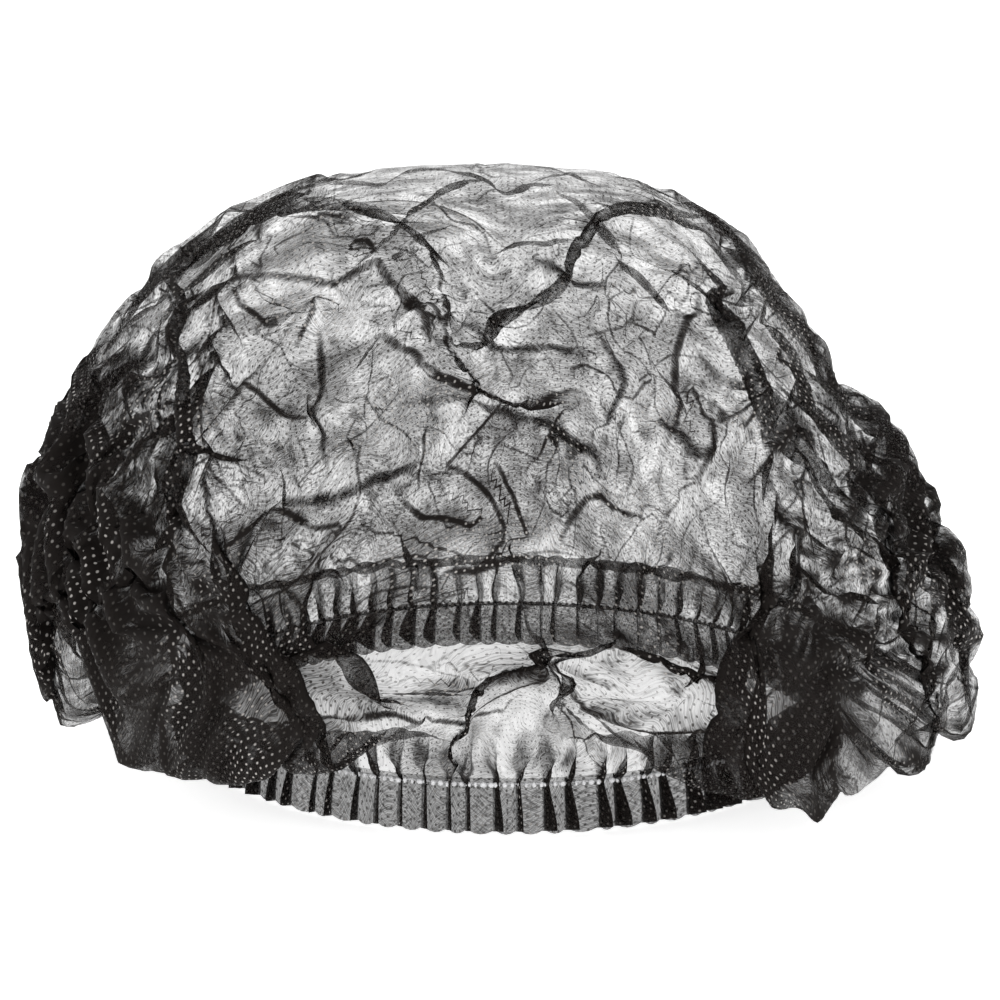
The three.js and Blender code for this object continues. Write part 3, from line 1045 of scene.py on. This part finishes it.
def stitchTree():
    tree, add, given = nodeGroup(
        "stitchRow", ["Spacing", "Length", "Height", "Thickness", "Unevenness"], ["Seed"])
    line = add("GeometryNodeMeshToCurve", {"Mesh": given["Geometry"]})
    marks = add("GeometryNodeResampleCurve", {"Curve": line, "Length": given["Spacing"]}, mode="LENGTH")
    least = add("ShaderNodeMath", {0: 1.0, 1: given["Unevenness"]}, operation="SUBTRACT")
    share = add("FunctionNodeRandomValue", {2: least, 3: 1.0, "Seed": given["Seed"]}, data_type="FLOAT")
    long = add("ShaderNodeMath", {0: given["Length"], 1: share.outputs[1]}, operation="MULTIPLY")
    size = add("ShaderNodeCombineXYZ", {"X": long, "Y": given["Thickness"], "Z": given["Height"]})
    course = add("GeometryNodeInputTangent")
    along = add("FunctionNodeAlignRotationToVector", {"Vector": course}, axis="X")
    tilt = add("FunctionNodeRandomValue", {
        0: [-stitches["tilt"]] * 3, 1: [stitches["tilt"]] * 3, "Seed": given["Seed"]},
        data_type="FLOAT_VECTOR")
    laid = add("FunctionNodeRotateRotation", {"Rotation": along, "Rotate By": tilt}, rotation_space="LOCAL")
    bead = add("GeometryNodeMeshUVSphere", {
        "Segments": stitches["sides"], "Rings": stitches["rings"], "Radius": 0.5})
    rows = add("GeometryNodeInstanceOnPoints", {
        "Points": marks, "Instance": bead, "Rotation": laid, "Scale": size})
    endGroup(add, rows, given["Material"])
    return tree


# Polyester thread, spun and bleached: white and matt, with fine slanted plies along it.
threadFinish = {
    "shade": "#d6d6da", "light": "#fbfbfb", "roughness": 0.6, "sheen": 0.2,
    "ply": 0.4, "waver": 2.0, "relief": 0.3, "depth": 0.05,  # ply and depth in millimetres
}


def whiteThreadMaterial():
    look = threadFinish
    material, add = newMaterial("whitePolyesterThread")
    place = add("ShaderNodeTexCoord")
    plies = add("ShaderNodeTexWave", {
        "Vector": place.outputs["Object"], "Scale": 1 / (look["ply"] * mm),
        "Distortion": look["waver"]})
    colour = add("ShaderNodeMix", {
        "Factor": plies.outputs["Fac"], "A": linear(look["shade"]), "B": linear(look["light"])},
        data_type="RGBA")
    bump = add("ShaderNodeBump", {
        "Height": plies.outputs["Fac"], "Strength": look["relief"], "Distance": look["depth"] * mm})
    shader = add("ShaderNodeBsdfPrincipled", {
        "Base Color": colour.outputs[2], "Roughness": look["roughness"], "Normal": bump,
        "Sheen Weight": look["sheen"]})
    add("ShaderNodeOutputMaterial", {"Surface": shader})
    return material


whiteThread = whiteThreadMaterial()
elastic = growPiece(loopMesh("elasticThread", elasticThread["reach"]), elasticTree(), {
    "Thickness": elasticThread["thickness"] * mm, "Sides": elasticThread["sides"], "Material": whiteThread})
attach(elastic, "root")
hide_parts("elastic")
stitchRow = growPiece(loopMesh("stitchRow", stitches["reach"]), stitchTree(), {
    "Spacing": stitches["spacing"] * mm, "Length": stitches["length"] * mm,
    "Height": stitches["height"] * mm, "Thickness": stitches["thickness"] * mm,
    "Unevenness": stitches["unevenness"], "Seed": stitches["seed"], "Material": whiteThread})
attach(stitchRow, "root")
print("elastic and stitches have", len(elastic.data.polygons), "and", len(stitchRow.data.polygons), "faces")

# Pale studio, lit evenly from all round. The floor is matt white paper, bright and without gloss.
studio = {
    "floorSize": 12, "floor": "#fafafa", "floorRough": 0.9, "floorGlow": 0.75, "white": (1, 1, 1, 1),
    "world": 1.0,
    "layersSeen": 32, "bounces": 2,  # the cloth overlaps many times, and black cloth sends little light on
}


def studioFloor():
    half = studio["floorSize"] / 2
    corners = [(-half, -half, 0), (half, -half, 0), (half, half, 0), (-half, half, 0)]
    floor = plainMesh("studioFloor", corners, [(0, 1, 2, 3)])
    material, add = newMaterial("mattWhiteFloor")
    shader = add("ShaderNodeBsdfPrincipled", {
        "Base Color": linear(studio["floor"]), "Roughness": studio["floorRough"],
        "Emission Color": studio["white"], "Emission Strength": studio["floorGlow"]})
    add("ShaderNodeOutputMaterial", {"Surface": shader})
    material.cycles.emission_sampling = "NONE"
    floor.data.materials.append(material)


studioFloor()
scene = bpy.context.scene
scene.world = bpy.data.worlds.new("paleStudio")
scene.world.use_nodes = True
backdrop = scene.world.node_tree.nodes["Background"]
backdrop.inputs["Color"].default_value = studio["white"]
backdrop.inputs["Strength"].default_value = studio["world"]
scene.view_settings.view_transform = "Standard"
scene.cycles.transparent_max_bounces = studio["layersSeen"]
scene.cycles.max_bounces = studio["bounces"]
scene.world.cycles.sampling_method = "NONE"

# Camera at the photo's angle, with the mouth's axis at the photo's place for it
view = {
    "elevation": 17.5, "distance": 0.8,  # degrees and metres
    "focal": 3404, "axisX": 508, "axisY": 733, "imageSize": 1000,  # pixels
    "sensor": 36,
}


def photoCamera():
    lift = math.radians(view["elevation"])
    out = Vector((0, -math.cos(lift), math.sin(lift)))
    above = Vector((0, math.sin(lift), math.cos(lift)))
    middle = view["imageSize"] / 2
    aim = above * (view["axisY"] - middle) - Vector((1, 0, 0)) * (view["axisX"] - middle)
    data = bpy.data.cameras.new("photoCamera")
    data.sensor_width = view["sensor"]
    data.lens = view["sensor"] * view["focal"] / view["imageSize"]
    camera = bpy.data.objects.new("photoCamera", data)
    camera.location = Vector((mouthCentre.x, mouthCentre.y, 0)) + out * view["distance"]
    camera.rotation_euler = (aim / view["focal"] - out).to_track_quat("-Z", "Y").to_euler()
    bpy.context.collection.objects.link(camera)
    scene.camera = camera


photoCamera()
print("studio and camera are set")
